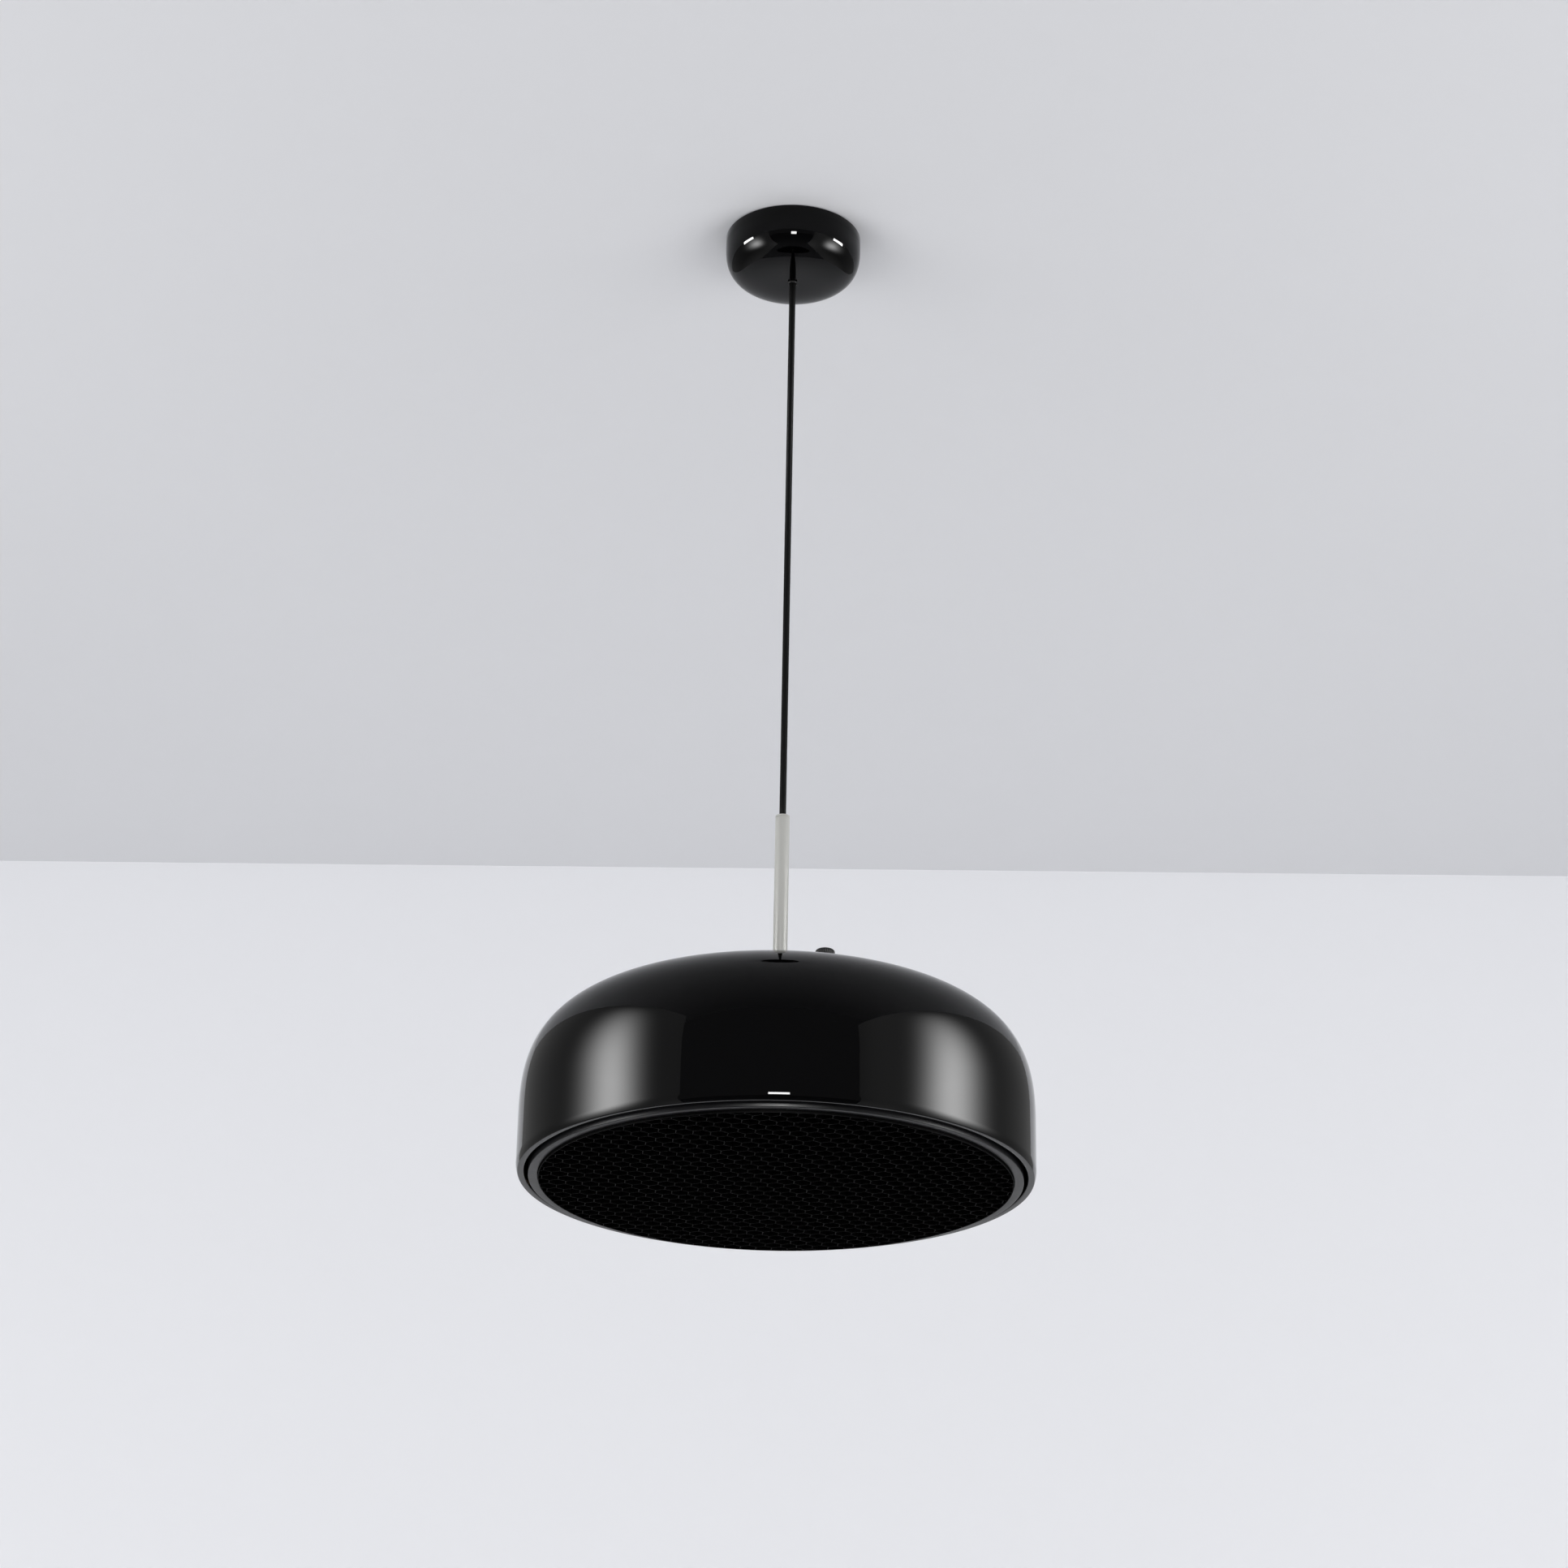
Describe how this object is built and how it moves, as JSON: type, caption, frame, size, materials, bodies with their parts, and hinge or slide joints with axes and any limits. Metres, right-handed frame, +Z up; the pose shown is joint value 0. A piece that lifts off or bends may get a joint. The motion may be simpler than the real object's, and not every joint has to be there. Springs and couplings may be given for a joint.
{
  "type": "pendant light",
  "caption": "Black dome pendant light on a cord and slim stem, with a ceiling cup, push switch and pull-out honeycomb louvre.",
  "frame": {"origin": "centre of the fixing plate's face against the ceiling", "axes": "+Z up, away from the lamp into the ceiling; the lamp hangs along -Z; -Y is the side with the push switch"},
  "size_m": [0.4, 0.4, 0.8423],
  "materials": {
    "gloss_black": "deep gloss black paint on spun aluminium",
    "stem_white": "satin warm off-white paint",
    "black_cable": "black PVC cable sheath",
    "louvre_black": "matt black honeycomb",
    "switch_black": "black satin plastic",
    "holder_black": "black thermoplastic",
    "white_plastic": "white nylon",
    "ceramic_white": "unglazed white ceramic",
    "zinc_steel": "zinc-plated steel",
    "brass": "plain brass",
    "bronze": "phosphor bronze spring strip",
    "opal_glass": "opal glass",
    "core_brown": "brown insulation",
    "core_blue": "blue insulation",
    "core_green": "green and yellow insulation"
  },
  "bodies": {
    "ceiling_mount": {"ceiling_plate": "zinc_steel", "plate_screw_a": "zinc_steel", "plate_screw_b": "zinc_steel", "cord_clamp": "white_plastic", "clamp_screw_a": "zinc_steel", "clamp_screw_b": "zinc_steel", "terminal_block": "white_plastic", "terminal_screw_a": "brass", "terminal_screw_b": "brass", "terminal_screw_c": "brass", "wire_live": "core_brown", "wire_neutral": "core_blue", "wire_earth": "core_green", "ceiling_cup": "gloss_black", "cup_bush": "switch_black", "bush_nut": "brass", "cord_in_cup": "black_cable"},
    "cord": {"cord": "black_cable"},
    "lamp": {"stem_bush": "stem_white", "stem_tube": "stem_white", "stem_nipple": "zinc_steel", "stem_washer": "zinc_steel", "stem_nut": "zinc_steel", "shade": "gloss_black", "holder_cap": "holder_black", "holder_insert": "ceramic_white", "holder_contact": "brass", "holder_sleeve": "holder_black", "bulb_cap": "zinc_steel", "bulb_glass": "opal_glass", "cord_in_stem": "black_cable", "switch_body": "switch_black", "switch_collar": "switch_black", "switch_spring": "zinc_steel", "switch_lead": "black_cable"},
    "switch_button": {"switch_button": "switch_black"},
    "louvre_insert": {"ring_frame": "gloss_black", "louvre": "louvre_black", "clip_a": "bronze", "clip_b": "bronze", "clip_c": "bronze", "rivet_a": "brass", "rivet_b": "brass", "rivet_c": "brass"}
  },
  "joints": [
    {"name": "cord_swing", "type": "hinge", "parent": "ceiling_mount", "child": "cord", "pos_m": [0, 0, -0.0433], "axis": [0, 1, 0], "range_deg": [-20, 20]},
    {"name": "lamp_tilt", "type": "hinge", "parent": "cord", "child": "lamp", "pos_m": [0, 0, -0.535], "axis": [1, 0, 0], "range_deg": [-15, 15]},
    {"name": "switch_press", "type": "slide", "parent": "lamp", "child": "switch_button", "axis": [0, 0, -1], "range_m": [0, 0.0025], "stiffness_N_per_m": 400, "springref_m": -0.003, "deforming": ["switch_spring"]},
    {"name": "louvre_pull", "type": "slide", "parent": "lamp", "child": "louvre_insert", "axis": [0, 0, -1], "range_m": [0, 0.08]}
  ]
}
